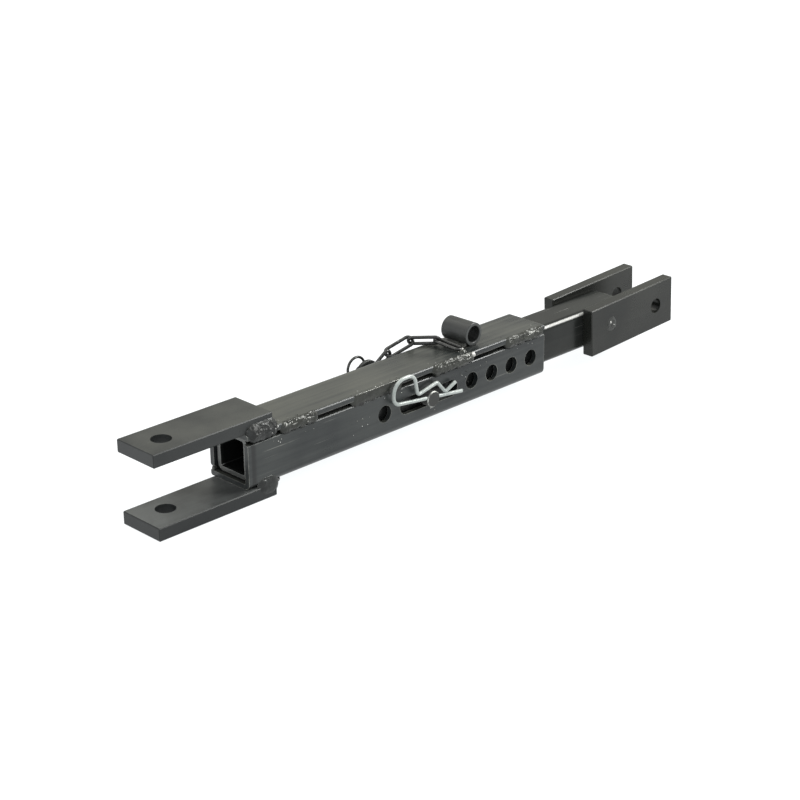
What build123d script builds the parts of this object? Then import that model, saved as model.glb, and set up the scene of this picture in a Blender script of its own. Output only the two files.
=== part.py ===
"""Telescopic check bar (stabiliser) for a tractor's lower link.

A square sleeve of two folded angle irons carries two flat lugs at its left end. A square tube slides inside it
and ends in a clevis of two flat plates. A cross pin goes through the tube and through a slot in the sleeve, so
the bar floats until it meets the slot's end. An R-clip holds the pin, and a short chain keeps it from being lost.

Frame: origin on the left clevis bore's axis, halfway between the lugs. +X runs along the bar towards the tube's
clevis, +Z is up and the cross pin lies along Y with its head at +Y. Millimetres.
"""

from build123d import *
from math import cos, radians, sin
import os

# ---- driving dimensions -------------------------------------------------------------------------------------
SLEEVE_LEFT = 71.5            # left end of the sleeve, from the left bore
SLEEVE_LENGTH = 384.0
SLEEVE_HALF = 26.2            # half of the sleeve's outer square
SHEET = 5.0                   # thickness of the two angles
NARROW_LEG = 42.9             # height of each angle's short leg; the rest of the side is an open seam
BEND_OUTER = 7.0
BEND_INNER = 2.0
EDGE = 0.8                    # broken edge on sheared flat bar
TOE_ROUND = 2.2               # rounded toe of an angle's leg

LUG_LENGTH, LUG_WIDTH, LUG_THICK = 130.0, 50.0, 12.4
LUG_BORE_R = 9.25
UPPER_LUG_LEFT, UPPER_LUG_SHIFT = -26.5, 1.8
LOWER_LUG_LEFT, LOWER_LUG_SHIFT = -28.5, -2.8

TUBE_SIZE, TUBE_WALL, TUBE_CORNER = 40.0, 4.0, 6.5
TUBE_LEFT, TUBE_RIGHT = 75.0, 582.0
TUBE_Z = 0.6                  # the tube rides up against the sleeve's top wall

PLATE_LEFT, PLATE_LENGTH, PLATE_HEIGHT, PLATE_THICK = 522.0, 130.0, 49.6, 12.4
PLATE_Z = -0.3                # height of the plates' middle at their left end
PLATE_PITCH = 2.7             # degrees that the plates rise towards the right
CLEVIS_BORE_R = 8.0
CLEVIS_BORE_IN = 103.0        # from the plates' left end, along the plate
PLUG_IN, PLUG_UP, PLUG_R = 30.5, 2.0, 7.5

ADJUST_HOLE_R = 8.25
ADJUST_Z = -2.6               # height of the row of adjusting holes
ADJUST_PITCH = 28.0
LAST_HOLE = 435.0             # rightmost adjusting hole
HOLES_RIGHT = 4               # round holes to the right of the slot
SLOT_RUN = 60.0               # between the slot's end centres

PIN_X = 291.8
PIN_R = 8.0
PIN_FRONT, PIN_COLLAR_FRONT, PIN_COLLAR_THICK, PIN_TAIL_END = -33.8, 55.0, 4.0, 69.0
PIN_COLLAR_R, PIN_TAIL_R = 14.8, 6.0
PIN_CHAMFER = 0.9
RING_Y, RING_R, RING_WIRE = 63.5, 11.0, 2.7
RING_ANGLE = 138.0            # direction from the pin's axis to the ring's centre
RING_HOLE_R = 3.0

CLIP_WIRE, CLIP_Y, CLIP_HOLE_R = 3.6, -31.0, 2.05
CLIP_SLOPE = -7.2             # degrees, of the clip's straight leg
CLIP_Z = ADJUST_Z + 1.45      # height of the straight leg where it goes through the pin, just above its axis

BUSH_R, BUSH_BORE_R, BUSH_LENGTH = 11.5, 8.2, 32.5
BUSH_X, BUSH_FRONT_Y, BUSH_YAW = 365.3, -15.2, -1.5

CHAIN_WIRE = 3.4
CHAIN_LENGTH, CHAIN_WIDTH = 30.0, 9.0       # of a link, between its wire's centres

SEAM_WELDS_FRONT = [(108.5, 154.2), (193.6, 260.0), (295.5, 355.3), (397.1, 454.6)]
SEAM_WELDS_REAR = [(SLEEVE_LEFT, 112.0), (176.0, 222.0), (330.0, 376.0), (412.0, 454.6)]

# ---- derived sizes ------------------------------------------------------------------------------------------
SLEEVE_RIGHT = SLEEVE_LEFT + SLEEVE_LENGTH
SLEEVE_INSIDE = SLEEVE_HALF - SHEET
SEAM_EDGE = NARROW_LEG - SLEEVE_HALF       # height of the front leg's top edge
SLOT_RIGHT = LAST_HOLE - HOLES_RIGHT * ADJUST_PITCH
SLOT_LEFT = SLOT_RIGHT - SLOT_RUN
ROUND_HOLES = [LAST_HOLE - n * ADJUST_PITCH for n in range(HOLES_RIGHT)] + [SLOT_LEFT - ADJUST_PITCH]
TUBE_HALF = TUBE_SIZE / 2
RING_X = PIN_X + RING_R * cos(radians(RING_ANGLE))
RING_Z = ADJUST_Z + RING_R * sin(radians(RING_ANGLE))
BEYOND = 80.0                 # cutters run this far past what they cut


def save(builder, name):
    """Label a finished piece and write it to its own STEP file."""
    builder.part.label = name
    export_step(builder.part, f"parts/{name}.step")


def cross_plane(x, turn=1):
    """The plane across the bar at x: local x is Y, local y is Z, normal +X. turn=-1 turns both by half a turn."""
    return Plane(origin=(x, 0, 0), x_dir=(0, turn, 0), z_dir=(1, 0, 0))


def side_plane(y):
    """An upright plane along the bar at y: local x is X, local y is Z, and its normal is -Y."""
    return Plane(origin=(0, y, 0), x_dir=(1, 0, 0), z_dir=(0, -1, 0))


# ---- sleeve: two angles, one turned half a turn about the bar's axis -------------------------------------------
def make_angle(turn):
    """One folded angle: its wide leg is the top (turn=1) or bottom (turn=-1), its short leg the rear or front."""
    out, ins, toe = SLEEVE_HALF, SLEEVE_INSIDE, SLEEVE_HALF - NARROW_LEG
    rounds = [((out, out), BEND_OUTER), ((ins, ins), BEND_INNER), ((-out, out), TOE_ROUND), ((out, toe), TOE_ROUND)]
    with BuildPart() as angle:
        with BuildSketch(cross_plane(SLEEVE_LEFT, turn)) as profile:
            with BuildLine():
                Polyline((-out, out), (out, out), (out, toe), (ins, toe), (ins, ins), (-out, ins), close=True)
            make_face()
            for corner, size in rounds:
                fillet(profile.vertices().sort_by_distance((*corner, 0))[0], size)
        extrude(amount=SLEEVE_LENGTH)
        with BuildSketch(side_plane(0)):
            with Locations(*[(x, ADJUST_Z) for x in ROUND_HOLES]):
                Circle(ADJUST_HOLE_R)
            with Locations(((SLOT_LEFT + SLOT_RIGHT) / 2, ADJUST_Z)):
                SlotCenterToCenter(SLOT_RUN, 2 * ADJUST_HOLE_R)
        extrude(amount=BEYOND, both=True, mode=Mode.SUBTRACT)
    return angle


angle_top_rear = make_angle(1)
angle_front_bottom = make_angle(-1)


# ---- lugs at the left end ------------------------------------------------------------------------------------
def make_lug(left, shift, base):
    """A flat bar with one bore on the Z axis, standing from z=base up."""
    with BuildPart() as lug:
        with BuildSketch(Plane.XY.offset(base)):
            with Locations((left + LUG_LENGTH / 2, shift)):
                Rectangle(LUG_LENGTH, LUG_WIDTH)
        extrude(amount=LUG_THICK)
        chamfer(lug.edges(), EDGE)
        with BuildSketch(Plane.XY.offset(base)):
            Circle(LUG_BORE_R)
        extrude(amount=LUG_THICK, mode=Mode.SUBTRACT)
    return lug


upper_lug = make_lug(UPPER_LUG_LEFT, UPPER_LUG_SHIFT, SLEEVE_HALF)
lower_lug = make_lug(LOWER_LUG_LEFT, LOWER_LUG_SHIFT, -SLEEVE_HALF - LUG_THICK)


# ---- welds on the sleeve -------------------------------------------------------------------------------------
SEAM_BULGE = 1.3              # height of a seam weld's crown
SEAM_OVERLAP = 4.2            # how far the crown climbs over the toe of the wide leg


def make_seam_welds(turn, spans):
    """Stitch welds that bridge the open seam; turn is -1 for the rear seam."""
    low, high = SEAM_EDGE, SLEEVE_INSIDE
    with BuildPart() as welds:
        for x_from, x_to in spans:
            with BuildSketch(cross_plane(x_from)):
                with BuildLine():
                    ends = [(-SLEEVE_HALF * turn, z * turn) for z in (low - 1.0, high + SEAM_OVERLAP)]
                    crown = (-(SLEEVE_HALF + SEAM_BULGE) * turn, (low + high + SEAM_OVERLAP) / 2 * turn)
                    ThreePointArc(ends[0], crown, ends[1])
                    inner = [(-(SLEEVE_INSIDE + 0.8) * turn, z * turn) for z in (high, low)]
                    rim = [(-SLEEVE_HALF * turn, z * turn) for z in (high, low)]
                    Polyline(ends[1], rim[0], *inner, rim[1], ends[0])
                make_face()
            extrude(amount=x_to - x_from)
        for angle in (angle_top_rear, angle_front_bottom):
            add(angle.part, mode=Mode.SUBTRACT)
    return welds


seam_welds_front = make_seam_welds(1, SEAM_WELDS_FRONT)
seam_welds_rear = make_seam_welds(-1, SEAM_WELDS_REAR)

LUG_WELD_LEG = 7.0            # leg of the welds beside the lugs
LUG_WELD_PROUD = 2.0          # how far they stand out of the sleeve's side
END_WELD_LEG, END_WELD_FOOT = 8.0, 10.5
END_WELD_HOLLOW = 0.37        # share of each leg left under the hollow face at its middle


def make_lug_welds(lug, left, shift, turn):
    """Fillets along both sides of a lug's overlap and across its inner end; turn is -1 below the sleeve."""
    end, top = left + LUG_LENGTH, SLEEVE_HALF
    start = SLEEVE_LEFT + (1.5 if turn > 0 else 12.0)
    reach = SLEEVE_HALF + LUG_WELD_PROUD
    with BuildPart() as welds:
        for side in (-1, 1):
            lug_side = side * LUG_WIDTH / 2 + shift
            foot = top - LUG_WELD_LEG - (2.0 if side * turn < 0 else 0.0)
            outline = [(lug_side, top + LUG_WELD_LEG), (side * (reach - 0.4), top + 1.0), (side * reach, foot + 3.0),
                       (side * SLEEVE_HALF, foot), (side * SLEEVE_INSIDE, foot), (side * 14.0, top)]
            with BuildSketch(cross_plane(start)):
                with BuildLine():
                    Polyline(*[(y, z * turn) for y, z in outline], close=True)
                make_face()
            extrude(amount=end - start)
        foot_leg, height = (4.5, 4.0) if turn > 0 else (END_WELD_FOOT, END_WELD_LEG)
        with BuildSketch(side_plane(shift + LUG_WIDTH / 2 - 3.0)):
            with BuildLine():
                bend = (end + foot_leg * END_WELD_HOLLOW, (top + height * END_WELD_HOLLOW) * turn)
                ThreePointArc((end, (top + height) * turn), bend, (end + foot_leg, top * turn))
                Polyline((end + foot_leg, top * turn), (end, top * turn), (end, (top + height) * turn))
            make_face()
        extrude(amount=LUG_WIDTH - 6.0)
        for neighbour in (angle_top_rear, angle_front_bottom, lug, seam_welds_front, seam_welds_rear):
            add(neighbour.part, mode=Mode.SUBTRACT)
        with BuildSketch(cross_plane(SLEEVE_LEFT)):
            Rectangle(2 * SLEEVE_INSIDE, 2 * SLEEVE_INSIDE)
        extrude(amount=SLEEVE_LENGTH, mode=Mode.SUBTRACT)
    return welds


upper_lug_welds = make_lug_welds(upper_lug, UPPER_LUG_LEFT, UPPER_LUG_SHIFT, 1)
lower_lug_welds = make_lug_welds(lower_lug, LOWER_LUG_LEFT, LOWER_LUG_SHIFT, -1)


# ---- sliding tube and its clevis -----------------------------------------------------------------------------
with BuildPart() as inner_tube:
    with BuildSketch(cross_plane(TUBE_LEFT)):
        with Locations((0, TUBE_Z)):
            RectangleRounded(TUBE_SIZE, TUBE_SIZE, TUBE_CORNER)
            inside = TUBE_SIZE - 2 * TUBE_WALL
            RectangleRounded(inside, inside, TUBE_CORNER - TUBE_WALL, mode=Mode.SUBTRACT)
    extrude(amount=TUBE_RIGHT - TUBE_LEFT)
    with BuildSketch(side_plane(0)):
        with Locations((PIN_X, ADJUST_Z)):
            Circle(ADJUST_HOLE_R)
    extrude(amount=BEYOND, both=True, mode=Mode.SUBTRACT)


def plate_plane(y):
    """The clevis plates' own upright plane: local x runs along the plate from its left end, local y is up."""
    pitch = radians(PLATE_PITCH)
    return Plane(origin=(PLATE_LEFT, y, PLATE_Z), x_dir=(cos(pitch), 0, sin(pitch)), z_dir=(0, -1, 0))


def make_plate(y_back):
    """One clevis plate, PLATE_THICK thick from y_back towards -Y, with its pin bore and its plug-weld hole."""
    with BuildPart() as plate:
        with BuildSketch(plate_plane(y_back)):
            with Locations((PLATE_LENGTH / 2, 0)):
                Rectangle(PLATE_LENGTH, PLATE_HEIGHT)
        extrude(amount=PLATE_THICK)
        chamfer(plate.edges(), EDGE)
        with BuildSketch(plate_plane(y_back)):
            with Locations((CLEVIS_BORE_IN, 0)):
                Circle(CLEVIS_BORE_R)
            with Locations((PLUG_IN, PLUG_UP)):
                Circle(PLUG_R)
        extrude(amount=PLATE_THICK, mode=Mode.SUBTRACT)
    return plate


clevis_plate_front = make_plate(-TUBE_HALF)
clevis_plate_rear = make_plate(TUBE_HALF + PLATE_THICK)

PLUG_CROWN = 0.7              # how far a plug weld is domed out of the plate

with BuildPart() as clevis_plug_welds:
    for side in (-1, 1):
        outside = side * (TUBE_HALF + PLATE_THICK)
        with BuildSketch(plate_plane(outside)):
            with Locations((PLUG_IN, PLUG_UP)):
                Circle(PLUG_R)
        extrude(amount=side * PLATE_THICK)
        with BuildSketch(plate_plane(outside)):
            with Locations((PLUG_IN, PLUG_UP)):
                Circle(PLUG_R)
        extrude(amount=-side * PLUG_CROWN, taper=50)

CORNER_WELD = 5.0             # leg of the fillets that close the tube's end against the plates

with BuildPart() as clevis_end_welds:
    for side in (-1, 1):
        corner = side * TUBE_HALF
        with BuildSketch(Plane.XY.offset(TUBE_Z - TUBE_HALF + TUBE_CORNER)):
            with BuildLine():
                Polyline((TUBE_RIGHT, corner), (TUBE_RIGHT + CORNER_WELD, corner),
                         (TUBE_RIGHT, corner - side * (TUBE_WALL - 0.5)), close=True)
            make_face()
        extrude(amount=TUBE_SIZE - 2 * TUBE_CORNER)

# ---- adjusting pin, its collar and the wire ring in its tail --------------------------------------------------
with BuildPart() as adjusting_pin:
    with BuildSketch(Plane(origin=(PIN_X, 0, ADJUST_Z))):
        with BuildLine():
            Polyline((0, PIN_FRONT), (PIN_R - PIN_CHAMFER, PIN_FRONT), (PIN_R, PIN_FRONT + PIN_CHAMFER),
                     (PIN_R, PIN_COLLAR_FRONT + PIN_COLLAR_THICK), (PIN_TAIL_R, PIN_COLLAR_FRONT + PIN_COLLAR_THICK),
                     (PIN_TAIL_R, PIN_TAIL_END - 1), (PIN_TAIL_R - 1, PIN_TAIL_END), (0, PIN_TAIL_END), close=True)
        make_face()
    revolve(axis=Axis((PIN_X, 0, ADJUST_Z), (0, 1, 0)))
    clip_hole, ring_hole = (CLIP_Y, CLIP_Z, CLIP_HOLE_R, CLIP_SLOPE), (RING_Y, ADJUST_Z, RING_HOLE_R, RING_ANGLE - 90)
    for hole_y, hole_z, hole_r, direction in (clip_hole, ring_hole):
        turn = radians(direction)
        with BuildSketch(Plane(origin=(PIN_X, hole_y, hole_z), z_dir=(cos(turn), 0, sin(turn)))):
            Circle(hole_r)
        extrude(amount=BEYOND, both=True, mode=Mode.SUBTRACT)

with BuildPart() as pin_collar:
    with BuildSketch(side_plane(PIN_COLLAR_FRONT + PIN_COLLAR_THICK)):
        with Locations((PIN_X, ADJUST_Z)):
            Circle(PIN_COLLAR_R)
            Circle(PIN_R, mode=Mode.SUBTRACT)
    extrude(amount=PIN_COLLAR_THICK)
    chamfer(pin_collar.edges().filter_by(GeomType.CIRCLE).sort_by(SortBy.RADIUS)[-2:], 0.6)

with BuildPart() as pin_ring:
    with BuildSketch(Plane(origin=(RING_X + RING_R, RING_Y, RING_Z), x_dir=(1, 0, 0), z_dir=(0, 0, 1))):
        Circle(RING_WIRE / 2)
    revolve(axis=Axis((RING_X, RING_Y, RING_Z), (0, 1, 0)))

# ---- R-clip: one bent wire in an upright plane in front of the sleeve -----------------------------------------
CLIP_LEG_OUT, CLIP_LEG_BACK = 40.2, -49.9   # ends of the straight leg, from the pin's axis


def leg_point(along):
    """A point on the straight leg's line, at a distance along X from the pin's axis."""
    return PIN_X + along, CLIP_Z + along * sin(radians(CLIP_SLOPE)) / cos(radians(CLIP_SLOPE))


CLIP_BENDS = [                # corner (x, z) and bend radius of each bend after the straight leg
    (leg_point(CLIP_LEG_BACK), 8.0),
    ((241.9, 28.0), 14.0),
    ((268.6, 28.0), 8.5),
    ((272.8, 6.4), 3.6),
    ((298.6, 11.9), 3.4),
    ((309.4, -0.8), 2.6),
]
CLIP_TIP = (323.2, 5.4)

with BuildPart() as r_clip:
    with BuildLine(side_plane(CLIP_Y)) as clip_path:
        FilletPolyline(leg_point(CLIP_LEG_OUT), *[corner for corner, _ in CLIP_BENDS], CLIP_TIP,
                       radius=[bend for _, bend in CLIP_BENDS])
    with BuildSketch(Plane(origin=clip_path.line @ 0, z_dir=clip_path.line % 0)):
        Circle(CLIP_WIRE / 2)
    sweep()

# ---- parking bush for the pin, welded on the top ---------------------------------------------------------------
yaw = radians(BUSH_YAW)
BUSH_PLANE = Plane(origin=(BUSH_X, BUSH_FRONT_Y, SLEEVE_HALF + BUSH_R), x_dir=(cos(yaw), -sin(yaw), 0),
                   z_dir=(sin(yaw), cos(yaw), 0))

with BuildPart() as parking_bush:
    with BuildSketch(BUSH_PLANE):
        Circle(BUSH_R)
        Circle(BUSH_BORE_R, mode=Mode.SUBTRACT)
    extrude(amount=BUSH_LENGTH)
    chamfer(parking_bush.edges().filter_by(GeomType.CIRCLE), 0.5)

BUSH_WELD_HALF, BUSH_WELD_HEIGHT = 8.5, 4.0

with BuildPart() as bush_welds:
    with BuildSketch(BUSH_PLANE.offset(3.0)):
        with Locations(Location((0, BUSH_R - BUSH_WELD_HEIGHT / 2), 180)):
            Trapezoid(2 * BUSH_WELD_HALF, BUSH_WELD_HEIGHT, 45)
    extrude(amount=BUSH_LENGTH - 6.0)
    with BuildSketch(BUSH_PLANE):
        Circle(BUSH_R)
    extrude(amount=BUSH_LENGTH, mode=Mode.SUBTRACT)
    split(bisect_by=Plane.XY.offset(SLEEVE_HALF), keep=Keep.TOP)

# ---- chain: six loose links from the anchor weld, over the rear edge and down to the ring in the pin's tail --------
CHAIN_LINKS = [               # middle, the way it points, and its sideways direction before that is squared up
    ((343.8, -1.9, 29.9), (-0.18, 0.97, 0.13), (0.97, 0.20, -0.10)),
    ((331.4, 18.5, 32.0), (-0.69, 0.72, -0.02), (0.37, 0.33, -0.87)),
    ((311.3, 32.2, 27.3), (-0.89, 0.28, -0.36), (0.01, -0.77, -0.63)),
    ((289.7, 37.0, 14.6), (-0.76, 0.12, -0.64), (-0.66, -0.11, 0.75)),
    ((272.7, 42.5, -6.8), (-0.45, 0.51, -0.73), (0.87, 0.06, -0.49)),
    ((271.9, 56.8, -10.4), (0.40, 0.61, 0.68), (0.13, 0.70, -0.71)),
]


def make_link(middle, along, side):
    """An oval link of round wire, centred on middle."""
    along = Vector(*along).normalized()
    side = Vector(*side)
    across = (side - along * side.dot(along)).normalized()
    plane = Plane(origin=middle, x_dir=along, z_dir=along.cross(across))
    half, bend = CHAIN_WIDTH / 2, (CHAIN_LENGTH - CHAIN_WIDTH) / 2
    with BuildPart() as link:
        with BuildLine(plane):
            Line((-bend, -half), (bend, -half))
            ThreePointArc((bend, -half), (bend + half, 0), (bend, half))
            Line((bend, half), (-bend, half))
            ThreePointArc((-bend, half), (-bend - half, 0), (-bend, -half))
        with BuildSketch(Plane(origin=plane.from_local_coords(Vector(0, -half)), z_dir=along)):
            Circle(CHAIN_WIRE / 2)
        sweep()
    return link


links = [make_link(*link) for link in CHAIN_LINKS]

ANCHOR_WELD = (346.8, -17.4)  # where the first link's near end is welded down
ANCHOR_WELD_R, ANCHOR_WELD_DROP = 6.0, 3.7

with BuildPart() as chain_anchor_weld:
    with Locations((*ANCHOR_WELD, SLEEVE_HALF - ANCHOR_WELD_DROP)):
        Sphere(ANCHOR_WELD_R)
    split(bisect_by=Plane.XY.offset(SLEEVE_HALF), keep=Keep.TOP)
    add(links[0].part, mode=Mode.SUBTRACT)

# ---- write every piece -----------------------------------------------------------------------------------------
os.makedirs("parts", exist_ok=True)
pieces = {
    "sleeve_angle_top_rear": angle_top_rear,
    "sleeve_angle_front_bottom": angle_front_bottom,
    "seam_welds_front": seam_welds_front,
    "seam_welds_rear": seam_welds_rear,
    "upper_lug": upper_lug,
    "lower_lug": lower_lug,
    "upper_lug_welds": upper_lug_welds,
    "lower_lug_welds": lower_lug_welds,
    "parking_bush": parking_bush,
    "bush_welds": bush_welds,
    "chain_anchor_weld": chain_anchor_weld,
    "inner_tube": inner_tube,
    "clevis_plate_front": clevis_plate_front,
    "clevis_plate_rear": clevis_plate_rear,
    "clevis_plug_welds": clevis_plug_welds,
    "clevis_end_welds": clevis_end_welds,
    "adjusting_pin": adjusting_pin,
    "pin_collar": pin_collar,
    "pin_ring": pin_ring,
    "r_clip": r_clip,
}
pieces.update({f"chain_link_{n + 1}": link for n, link in enumerate(links)})
for name, piece in pieces.items():
    save(piece, name)
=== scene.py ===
"""Looks of a telescopic check bar: rolled steel, lumpy welds, plated clip and chain, on a plain pale floor."""

import math
import random

import bpy
import numpy as np
from mathutils import Matrix, Vector, noise


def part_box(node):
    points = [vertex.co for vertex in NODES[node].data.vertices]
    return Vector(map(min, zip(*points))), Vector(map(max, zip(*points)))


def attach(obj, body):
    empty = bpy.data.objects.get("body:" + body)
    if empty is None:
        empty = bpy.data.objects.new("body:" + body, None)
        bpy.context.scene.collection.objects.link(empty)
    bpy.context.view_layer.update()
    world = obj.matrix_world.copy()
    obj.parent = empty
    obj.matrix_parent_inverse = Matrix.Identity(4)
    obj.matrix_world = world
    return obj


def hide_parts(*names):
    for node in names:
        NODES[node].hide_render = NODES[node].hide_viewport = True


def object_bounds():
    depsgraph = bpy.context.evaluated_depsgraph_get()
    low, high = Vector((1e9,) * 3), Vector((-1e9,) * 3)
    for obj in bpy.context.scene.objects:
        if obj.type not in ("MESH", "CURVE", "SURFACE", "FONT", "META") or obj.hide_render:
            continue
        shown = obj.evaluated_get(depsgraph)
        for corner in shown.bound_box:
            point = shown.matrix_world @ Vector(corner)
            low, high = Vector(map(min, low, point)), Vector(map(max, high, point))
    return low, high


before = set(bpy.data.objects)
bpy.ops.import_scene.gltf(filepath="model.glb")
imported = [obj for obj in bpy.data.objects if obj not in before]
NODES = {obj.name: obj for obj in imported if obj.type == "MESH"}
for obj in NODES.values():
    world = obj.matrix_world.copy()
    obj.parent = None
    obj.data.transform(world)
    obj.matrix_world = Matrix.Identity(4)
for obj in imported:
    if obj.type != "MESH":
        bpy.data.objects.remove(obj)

CAD_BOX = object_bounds()
MM = 0.001
X, Y, Z = 0, 1, 2
BEVEL_SAMPLES = 6
MIX_FACTOR, MIX_A, MIX_B, MIX_COLOUR = 0, 6, 7, 2       # a colour Mix node's inputs, and its output

# ---- camera ----------------------------------------------------------------------------------------------------------
CAMERA_AZIMUTH, CAMERA_ELEVATION, CAMERA_ROLL = -44.351, 22.379, -0.626
CAMERA_TARGET = Vector((0.28028, 0.0, -0.0095))
CAMERA_DISTANCE = 1.76826
CAMERA_LENS, CAMERA_SENSOR = 84.31, 36.0
CAMERA_NEAR, CAMERA_FAR = 0.05, 50.0


def place_camera():
    """Puts the camera on its line of sight, turned by its small roll."""
    az, el, roll = (math.radians(a) for a in (CAMERA_AZIMUTH, CAMERA_ELEVATION, CAMERA_ROLL))
    back = Vector((math.sin(az) * math.cos(el), -math.cos(az) * math.cos(el), math.sin(el)))
    right = (-back).cross(Vector((0, 0, 1))).normalized()
    up = right.cross(-back)
    rolled_right = right * math.cos(roll) + up * math.sin(roll)
    rolled_up = up * math.cos(roll) - right * math.sin(roll)
    data = bpy.data.cameras.new("camera")
    data.lens, data.sensor_width = CAMERA_LENS, CAMERA_SENSOR
    data.clip_start, data.clip_end = CAMERA_NEAR, CAMERA_FAR
    camera = bpy.data.objects.new("camera", data)
    turn = Matrix((rolled_right, rolled_up, back)).transposed().to_4x4()
    camera.matrix_world = Matrix.Translation(CAMERA_TARGET + back * CAMERA_DISTANCE) @ turn
    bpy.context.scene.collection.objects.link(camera)
    bpy.context.scene.camera = camera


place_camera()


# ---- materials -------------------------------------------------------------------------------------------------------
class Graph:
    """A short way to write a node tree."""

    def __init__(self, name):
        self.material = bpy.data.materials.new(name)
        self.material.use_nodes = True
        self.tree = self.material.node_tree
        self.tree.nodes.clear()
        self.shader = self.node("ShaderNodeBsdfPrincipled")
        out = self.node("ShaderNodeOutputMaterial")
        self.link(self.shader.outputs[0], out.inputs[0])
        texture_coordinates = self.node("ShaderNodeTexCoord")
        self.coords = texture_coordinates.outputs["Object"]
        self.normals = texture_coordinates.outputs["Normal"]

    def node(self, kind, **values):
        made = self.tree.nodes.new(kind)
        for key, value in values.items():
            setattr(made, key, value)
        return made

    def link(self, a, b):
        self.tree.links.new(a, b)

    def parts(self, vector):
        """The x, y and z of a vector."""
        split = self.node("ShaderNodeSeparateXYZ")
        self.link(vector, split.inputs[0])
        return split.outputs

    def scaled(self, scale):
        """The object's coordinates times scale, so that a noise read there is drawn out along an axis."""
        mapping = self.node("ShaderNodeMapping")
        mapping.inputs["Scale"].default_value = scale
        self.link(self.coords, mapping.inputs["Vector"])
        return mapping.outputs[0]

    def noise(self, scale, detail=4.0, roughness=0.55, vector=None):
        """Noise with scale features per metre, or per unit of vector."""
        made = self.node("ShaderNodeTexNoise")
        made.inputs["Scale"].default_value = scale
        made.inputs["Detail"].default_value = detail
        made.inputs["Roughness"].default_value = roughness
        self.link(vector if vector is not None else self.coords, made.inputs["Vector"])
        return made.outputs["Fac"]

    def ramp(self, value, low, high, low_to=0.0, high_to=1.0):
        """Runs from low_to to high_to as value runs from low to high, and stays there beyond."""
        made = self.node("ShaderNodeMapRange")
        for key, number in zip(("From Min", "From Max", "To Min", "To Max"), (low, high, low_to, high_to)):
            made.inputs[key].default_value = number
        self.link(value, made.inputs["Value"])
        return made.outputs[0]

    def math(self, operation, a, b):
        """A sum on two sockets or numbers."""
        made = self.node("ShaderNodeMath", operation=operation)
        for socket, value in zip(made.inputs, (a, b)):
            if isinstance(value, (int, float)):
                socket.default_value = value
            else:
                self.link(value, socket)
        return made.outputs[0]

    def times(self, a, b):
        return self.math("MULTIPLY", a, b)

    def plus(self, a, b):
        return self.math("ADD", a, b)

    def minus(self, a, b):
        return self.math("SUBTRACT", a, b)

    def mix(self, factor, a, b):
        """Colour a where factor is 0 and colour b where it is 1."""
        made = self.node("ShaderNodeMix", data_type="RGBA")
        for number, value in ((MIX_FACTOR, factor), (MIX_A, a), (MIX_B, b)):
            socket = made.inputs[number]
            if isinstance(value, (int, float)):
                socket.default_value = value
            elif isinstance(value, tuple):
                socket.default_value = (*value, 1.0)
            else:
                self.link(value, socket)
        return made.outputs[MIX_COLOUR]

    def edges(self, radius, low=0.02, high=0.18):
        """1 on convex and concave edges narrower than radius, 0 on flat surface."""
        bevel = self.node("ShaderNodeBevel", samples=BEVEL_SAMPLES)
        bevel.inputs["Radius"].default_value = radius
        geometry = self.node("ShaderNodeNewGeometry")
        dot = self.node("ShaderNodeVectorMath", operation="DOT_PRODUCT")
        self.link(bevel.outputs[0], dot.inputs[0])
        self.link(geometry.outputs["Normal"], dot.inputs[1])
        return self.ramp(self.minus(1.0, dot.outputs["Value"]), low, high)

    def bump(self, height, strength, distance):
        made = self.node("ShaderNodeBump")
        made.inputs["Strength"].default_value = strength
        made.inputs["Distance"].default_value = distance
        self.link(height, made.inputs["Height"])
        return made.outputs[0]

    def finish(self, colour, roughness, normal, metallic=0.0, specular=0.5):
        """Feeds the shader and hands over the material."""
        for key, value in (("Base Color", colour), ("Roughness", roughness), ("Normal", normal)):
            self.link(value, self.shader.inputs[key])
        self.shader.inputs["Metallic"].default_value = metallic
        self.shader.inputs["Specular IOR Level"].default_value = specular
        return self.material


def cut_faces(g, axis, low, high):
    """0 to 1 as a face normal's share along an axis of the object runs from low to high."""
    return g.ramp(g.parts(g.normals)[axis], low, high)


def band_along(g, start, full, stop, gone):
    """Rises to 1 from start to full and falls from stop to gone, in metres along the bar."""
    place = g.parts(g.coords)[X]
    return g.times(g.ramp(place, start, full), g.ramp(place, gone, stop))


# Scales of the noises in features per metre; where there are three they run along, across and up.
CLOUD, PATCH, PIT, GRAIN, WEAR = 14.0, 26.0, 240.0, 900.0, 70.0
STREAK, HAIR = (5.0, 190.0, 190.0), (11.0, 900.0, 900.0)
WELD_LUMP, WELD_FINE, WELD_PATCH = (70.0, 150.0, 150.0), 700.0, 60.0
TURNED_LINE, TURNED_CLOUD, TURNED_GRAIN = (500.0, 24.0, 500.0), 60.0, 1300.0
TURNED_WEAR, RIM_BREAK = 210.0, 330.0
WIRE_DRAWN, WIRE_DULL, WIRE_SPECK, SPECK_PATCH = 700.0, 430.0, 300.0, 80.0

PIT_DARK, DULL_DARK = 0.3, 0.6              # the colour in a pit or a dull spot, as a share of the dark colour
DULL_EDGE_WIDTH, WELD_CREST_WIDTH, TURNED_EDGE_WIDTH = 0.0012, 0.0011, 0.0005
# Colour of a darker band along a bar; on the inner tube this band is painted shade inside the sleeve.
BAND_DARK = (0.006, 0.0065, 0.0065)
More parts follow.
